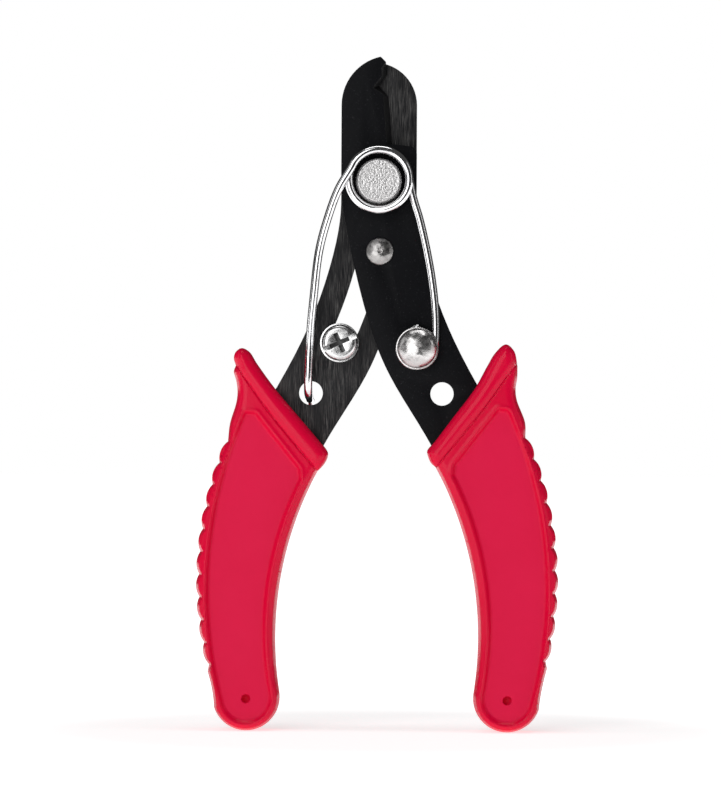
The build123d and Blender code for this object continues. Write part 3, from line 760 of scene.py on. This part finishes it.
def refined(node, slot, body, bevel_mm, marked=()):
    """The CAD's own shape with sharp edges worn round. The first of the marked materials is for the strips."""
    mesh = frame["nodes"][node].data.copy()
    mesh.name = node + "_worn"
    piece = bpy.data.objects.new(node + "_worn", mesh)
    bpy.context.scene.collection.objects.link(piece)
    grid = bmesh.new()
    grid.from_mesh(mesh)
    bmesh.ops.remove_doubles(grid, verts=grid.verts, dist=1e-6)
    bmesh.ops.dissolve_limit(grid, angle_limit=math.radians(FLAT_DEG), verts=grid.verts, edges=grid.edges)
    sharp = [e for e in grid.edges if e.is_manifold and e.calc_face_angle() > math.radians(SHARP_DEG)]
    bmesh.ops.bevel(
        grid, geom=sharp, offset=bevel_mm * MM, segments=2, profile=0.6, affect="EDGES",
        clamp_overlap=True, material=1 if marked else -1, loop_slide=True,
    )
    for face in grid.faces:
        face.smooth = True
    grid.to_mesh(mesh)
    grid.free()
    mesh.set_sharp_from_angle(angle=math.radians(SHADING_DEG))
    return dress(piece, slot, body, node, marked)


def ground_bevels(piece):
    """The jaws' slanting faces take the ground-edge material."""
    low, high = GROUND_TILT
    for face in piece.data.polygons:
        if face.material_index == 0 and face.center.z > PIVOT.z + GROUND_ABOVE * MM:
            if low < abs(face.normal.y) < high:
                face.material_index = 2


# the worn strips are real wear and also a painted highlight along the lever edges
ON_LEVERS = ("worn", "ground")
ground_bevels(refined("front_lever", "front_lever_steel", "front_handle", FRONT_LEVER_WEAR, ON_LEVERS))
ground_bevels(refined("rear_lever", "rear_lever_steel", "rear_handle", REAR_LEVER_WEAR, ON_LEVERS))
for clamp_piece in ("screw_washer", "nut_washer", "adjusting_nut"):
    refined(clamp_piece, "zinc_fastener", "stop_clamp", CLAMP_WEAR)


# ---------------------------------------------------------------- round pieces
TURNED_SHARP_DEG = 42


def lathed(name, slot, body, centre, profile, around=96, relief=None):
    """Turned piece from (radius, depth) points, front first. Relief shifts points in depth."""
    profile = np.asarray(profile, float)
    turns = np.arange(around) / around * math.tau
    rings = []
    for radius, depth in profile[1:-1]:
        ring = np.column_stack([
            centre[0] + radius * np.cos(turns),
            np.full(around, depth),
            centre[1] + radius * np.sin(turns),
        ])
        rings.append(ring)
    points = np.vstack(rings)
    faces = grid_faces(len(rings), around)
    top, bottom = len(points), len(points) + 1
    tips = [[centre[0], depth, centre[1]] for depth in (profile[0, 1], profile[-1, 1])]
    points = np.vstack([points, tips])
    last = (len(rings) - 1) * around
    for i in range(around):
        j = (i + 1) % around
        faces.append((i, j, top))
        faces.append((last + j, last + i, bottom))
    if relief:
        points[:, 1] += relief(points - [centre[0], 0, centre[1]])
    piece = add_piece(name + "_turned", points, faces, slot, body, name)
    piece.data.set_sharp_from_angle(angle=math.radians(TURNED_SHARP_DEG))
    return piece


def rounded(points, radius_mm, steps=5):
    """A (radius, depth) profile with its corners rounded."""
    points = np.asarray(points, float)
    out = [points[0]]
    for before, corner, after in zip(points, points[1:], points[2:]):
        a, b = before - corner, after - corner
        cut = min(radius_mm, np.linalg.norm(a) * 0.45, np.linalg.norm(b) * 0.45)
        start = corner + a / np.linalg.norm(a) * cut
        end = corner + b / np.linalg.norm(b) * cut
        for t in np.linspace(0, 1, steps):
            out.append((1 - t) ** 2 * start + 2 * t * (1 - t) * corner + t * t * end)
    out.append(points[-1])
    return out


def lumps(scale_mm, depth_mm, seed, reach):
    """Relief of small random dents inside a radius, fading at its rim, on the front side only."""
    def relief(points):
        radius = np.hypot(points[:, 0], points[:, 2])
        shift = np.zeros(len(points))
        for i, (x, depth, z) in enumerate(points):
            if depth > 0 and radius[i] < reach:
                fade = min(1.0, (reach - radius[i]) / 0.4)
                where = Vector((x / scale_mm, z / scale_mm, seed))
                shift[i] = -depth_mm * fade * abs(noise.noise(where, noise_basis="PERLIN_NEW"))
        return shift
    return relief


RIVET_BACK, RIVET_FRONT = node_depths("pivot_rivet")
LEVER_OUTSIDE = node_depths("front_lever")[1]
rivet_profile = [(0, RIVET_FRONT)] + [(r, RIVET_FRONT) for r in np.arange(0.15, 4.4, 0.15)]
rivet_profile += rounded([
    (4.4, RIVET_FRONT), (4.62, RIVET_FRONT), (5.0, RIVET_FRONT - 1.3), (5.2, LEVER_OUTSIDE + 0.05),
    (3.0, LEVER_OUTSIDE + 0.05), (3.0, -LEVER_OUTSIDE), (4.8, -LEVER_OUTSIDE), (4.8, -LEVER_OUTSIDE - 0.5),
    (2.4, RIVET_BACK), (0, RIVET_BACK),
], 0.22)[1:]
lathed(
    "pivot_rivet", "rivet_steel", "rear_handle", (0, 0), rivet_profile, 160, lumps(0.42, 0.10, 3.1, 4.5)
)

PIN_CENTRE = node_centre("stop_pin")
PIN_BACK, PIN_FRONT = node_depths("stop_pin")
pin_profile = [
    (0, PIN_FRONT - 0.42), (0.12, PIN_FRONT - 0.38), (0.28, PIN_FRONT - 0.20), (0.45, PIN_FRONT - 0.04),
]
for r in np.linspace(0.6, 2.9, 16):
    pin_profile.append((r, PIN_FRONT - 1.05 * (r / 3.05) ** 2.4))
pin_profile += rounded([
    (2.9, PIN_FRONT - 0.93), (3.05, PIN_FRONT - 1.2), (3.05, LEVER_OUTSIDE), (1.3, LEVER_OUTSIDE),
    (1.3, PIN_BACK), (0, PIN_BACK),
], 0.12)[1:]
stop_pin = lathed(
    "stop_pin", "nickel_rivet", "front_handle", PIN_CENTRE, pin_profile, 96, lumps(1.5, 0.10, 7.7, 2.9)
)
# the stop pin takes the darker nickel copy, painted shade
stop_pin.data.materials[0] = MATERIALS["shade_darkened_nickel"]

STUD_CENTRE = node_centre("spring_stud")
STUD_BACK, STUD_FRONT = node_depths("spring_stud")
stud_rim = STUD_FRONT - 2.4
stud_profile = [(0, STUD_FRONT)]
for r in np.linspace(0.15, 4.3, 30):
    stud_profile.append((r, stud_rim + 0.06 + 2.34 * (1 - (r / 4.42) ** 2) ** 0.62))
stud_profile += rounded([
    (4.3, stud_rim + 0.5), (4.42, stud_rim + 0.02), (4.7, stud_rim), (4.7, stud_rim - 0.5),
    (2.95, stud_rim - 0.5), (2.95, LEVER_OUTSIDE), (2.0, LEVER_OUTSIDE), (2.0, 0.1), (2.8, 0.1),
    (2.8, -0.35), (1.96, STUD_BACK), (0, STUD_BACK),
], 0.10)[1:]
lathed(
    "spring_stud", "nickel_rivet", "front_handle", STUD_CENTRE, stud_profile, 128,
    lumps(2.1, 0.13, 1.3, 4.2),
)


# ---------------------------------------------------------------- stop screw
SLOT_WALL_END, SLOT_REACH = 1.75, 3.75  # how deep and how far out the slot's walls go
CROSS_FROM, CROSS_TO, CROSS_REACH = 1.4, 2.0, 2.6  # depths and reach of the cross recess


def paint_recess_shade(piece):
    """The slot's walls and the cross recess take a near-black copy of the nickel, painted shade in these
    hollows, and only the slot's floor is bright.
    """
    x, z = node_centre("adjusting_screw")
    front = PIVOT.y - node_depths("adjusting_screw")[1] * MM
    for face in piece.data.polygons:
        behind = (face.center.y - front) / MM
        reach = math.hypot(face.center.x - PIVOT.x - x * MM, face.center.z - PIVOT.z - z * MM) / MM
        wall = abs(face.normal.y) < 0.5 and behind < SLOT_WALL_END and reach < SLOT_REACH
        if wall or (CROSS_FROM < behind < CROSS_TO and reach < CROSS_REACH):
            face.material_index = 1


screw = refined("adjusting_screw", "zinc_fastener", "stop_screw", SCREW_WEAR)
# second slot: painted shade in the slot's walls and the cross recess
screw.data.materials.append(MATERIALS["recess"])
paint_recess_shade(screw)


# ---------------------------------------------------------------- return spring
WIRE = 0.92
COIL_RADIUS = 6.65
COIL_CENTRE = (0, 0.3)
COIL_TURNS = 2.5
COIL_PITCH = 1.9
COIL_REAR = LEVER_OUTSIDE + 0.1 + WIRE
COIL_FRONT = COIL_REAR + COIL_TURNS * COIL_PITCH
HOLE_END = [(-15.0, -4.9, -52.0), (-15.0, -4.6, -49.2), (-15.25, -1.4, -48.2)]
LEFT_LEG = [  # (x, share of the drop from the coil's front to the hole, z)
    (-15.5, 1.0, -46.6), (-15.2, 0.8, -35.8), (-14.35, 0.56, -25.6), (-13.2, 0.34, -15.6),
    (-11.4, 0.18, -8.6), (-8.95, 0.04, -1.9),
]
LEFT_LEG_DEPTH = 1.3
COIL_START_DEG = 158
RIGHT_LEG = [(7.6, -3.6), (9.0, -8.2), (10.6, -15.0), (11.9, -22.2), (12.65, -29.5)]
HOOK_RADIUS = 4.02
HOOK_DEGREES = (8, -20, -50, -80, -110, -140, -170, -200, -226)
HOOK_TIP = (9.1, -32.2)
COIL_STEP_DEG = 12
WIRE_STEP = 0.3
WIRE_END_CHAMFER = 0.14
WIRE_SHARP_DEG = 50


def spring_line():
    """Middle line of the wire from the rear lever's hole, round the coil, to the tip behind the stud."""
    drop = COIL_FRONT - LEFT_LEG_DEPTH
    points = list(HOLE_END) + [(x, COIL_FRONT - share * drop, z) for x, share, z in LEFT_LEG]
    turned = 180 - COIL_START_DEG
    while turned <= COIL_TURNS * 360 - COIL_STEP_DEG:
        x, z = on_circle(COIL_CENTRE, COIL_RADIUS, 180 - turned)
        points.append((x, COIL_FRONT - COIL_PITCH * turned / 360, z))
        turned += COIL_STEP_DEG
    points += [(x, COIL_REAR, z) for x, z in RIGHT_LEG]
    for degrees in HOOK_DEGREES:
        x, z = on_circle(STUD_CENTRE, HOOK_RADIUS, degrees)
        points.append((x, COIL_REAR, z))
    points.append((HOOK_TIP[0], COIL_REAR, HOOK_TIP[1]))
    return catmull(points, WIRE_STEP)


def swept_wire(line, radius, around=20):
    """Round wire along a line, its ends slightly chamfered."""
    along = np.gradient(line, axis=0)
    along /= np.linalg.norm(along, axis=1)[:, None]
    side = np.cross(along[0], [0, 1, 0])
    side /= np.linalg.norm(side)
    turns = np.arange(around) / around * math.tau
    sizes = np.full(len(line), radius)
    sizes[[0, -1]] = radius - WIRE_END_CHAMFER
    rings = []
    for centre, way, size in zip(line, along, sizes):
        side = side - way * (side @ way)
        side /= np.linalg.norm(side)
        up = np.cross(way, side)
        rings.append(centre + size * (np.outer(np.cos(turns), side) + np.outer(np.sin(turns), up)))
    points = np.vstack(rings + [line[:1], line[-1:]])
    faces = grid_faces(len(rings), around)
    first, last = len(points) - 2, len(points) - 1
    offset = (len(rings) - 1) * around
    for i in range(around):
        j = (i + 1) % around
        faces.append((j, i, first))
        faces.append((offset + i, offset + j, last))
    return points, faces


wire_points, wire_faces = swept_wire(spring_line(), WIRE)
spring = add_piece("return_spring_wire", wire_points, wire_faces, "spring_wire", None, "return_spring")
spring.data.set_sharp_from_angle(angle=math.radians(WIRE_SHARP_DEG))
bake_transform(spring)


# ---------------------------------------------------------------- studio
def flat_sheet(name, corners, material):
    mesh = bpy.data.meshes.new(name)
    mesh.from_pydata(corners, [], [(0, 1, 2, 3)])
    sheet = bpy.data.objects.new(name, mesh)
    bpy.context.scene.collection.objects.link(sheet)
    mesh.materials.append(material)
    return sheet


FLOOR_SIDE, FLOOR_FRONT, FLOOR_BACK = 1.5, -0.215, 4
# the floor glows white away from the tool, so that it meets the backdrop
GLOW_FROM, GLOW_TO = 0.06, 0.14
GLOW_NEAR, GLOW_FAR = 0.66, 1.15

floor_shader = Shader("studio_floor", Roughness=0.9)
floor_shader.set("Base Color", rgb(0.9, 0.9, 0.9))
floor_shader.set("Emission Color", rgb(1, 1, 1))
from_tool = floor_shader.node("ShaderNodeVectorMath", {0: floor_shader.coords}, operation="LENGTH")
floor_shader.set("Emission Strength", floor_shader.remap(
    from_tool.outputs["Value"], GLOW_FROM, GLOW_TO, GLOW_NEAR, GLOW_FAR, smooth=True
))
floor_corners = [
    (-FLOOR_SIDE, FLOOR_FRONT, 0), (FLOOR_SIDE, FLOOR_FRONT, 0),
    (FLOOR_SIDE, FLOOR_BACK, 0), (-FLOOR_SIDE, FLOOR_BACK, 0),
]
flat_sheet("floor", floor_corners, floor_shader.material)

# the camera sees a white backdrop, and all else is lit by a dim room
BACKDROP_STRENGTH, ROOM_STRENGTH = 1.0, 0.05
world = bpy.data.worlds.new("studio")
bpy.context.scene.world = world
world.use_nodes = True
nodes, links = world.node_tree.nodes, world.node_tree.links
backdrop = nodes["Background"]
backdrop.inputs["Color"].default_value = rgb(1, 1, 1)
backdrop.inputs["Strength"].default_value = BACKDROP_STRENGTH
room = nodes.new("ShaderNodeBackground")
room.inputs["Color"].default_value = rgb(1, 1, 1)
room.inputs["Strength"].default_value = ROOM_STRENGTH
chooser = nodes.new("ShaderNodeMixShader")
path = nodes.new("ShaderNodeLightPath")
links.new(path.outputs["Is Camera Ray"], chooser.inputs["Fac"])
links.new(room.outputs[0], chooser.inputs[1])
links.new(backdrop.outputs[0], chooser.inputs[2])
links.new(chooser.outputs[0], nodes["World Output"].inputs["Surface"])

TARGET = (cad_box[0] + cad_box[1]) / 2


def softbox(name, place, size, watts):
    """Rectangular light aimed at the middle of the tool."""
    light = bpy.data.lights.new(name, "AREA")
    light.shape = "RECTANGLE"
    light.size, light.size_y = size
    light.energy = watts
    lamp = bpy.data.objects.new(name, light)
    bpy.context.scene.collection.objects.link(lamp)
    lamp.location = place
    lamp.rotation_euler = (TARGET - Vector(place)).to_track_quat("-Z", "Y").to_euler()


softbox("key_softbox", (-0.60, -1.50, 0.25), (1.1, 2.3), 18.0)
softbox("left_softbox", (-0.90, -0.25, 0.45), (0.3, 0.7), 0.5)
softbox("right_softbox", (0.90, -0.30, 0.30), (0.2, 0.6), 0.4)
softbox("top_softbox", (0.0, -0.15, 1.1), (0.8, 0.3), 2.2)

# ---------------------------------------------------------------- camera
VIEW_HEIGHT = 0.1780
DISTANCE = 1.2
LENS_SENSOR = 36.0
ROLL_DEG = 0.3
AIM = Vector((-0.00385, 0, 0.07367))
camera_data = bpy.data.cameras.new("camera")
camera_data.sensor_fit = "VERTICAL"
camera_data.sensor_height = LENS_SENSOR
camera_data.lens = LENS_SENSOR * DISTANCE / VIEW_HEIGHT
camera_data.clip_start, camera_data.clip_end = 0.05, 50
camera = bpy.data.objects.new("camera", camera_data)
bpy.context.scene.collection.objects.link(camera)
upright = Matrix.Rotation(math.radians(90), 4, "X")
roll = Matrix.Rotation(math.radians(ROLL_DEG), 4, "Z")
camera.matrix_world = Matrix.Translation(AIM - Vector((0, DISTANCE, 0))) @ upright @ roll
bpy.context.scene.camera = camera
bpy.context.scene.view_settings.view_transform = "Standard"
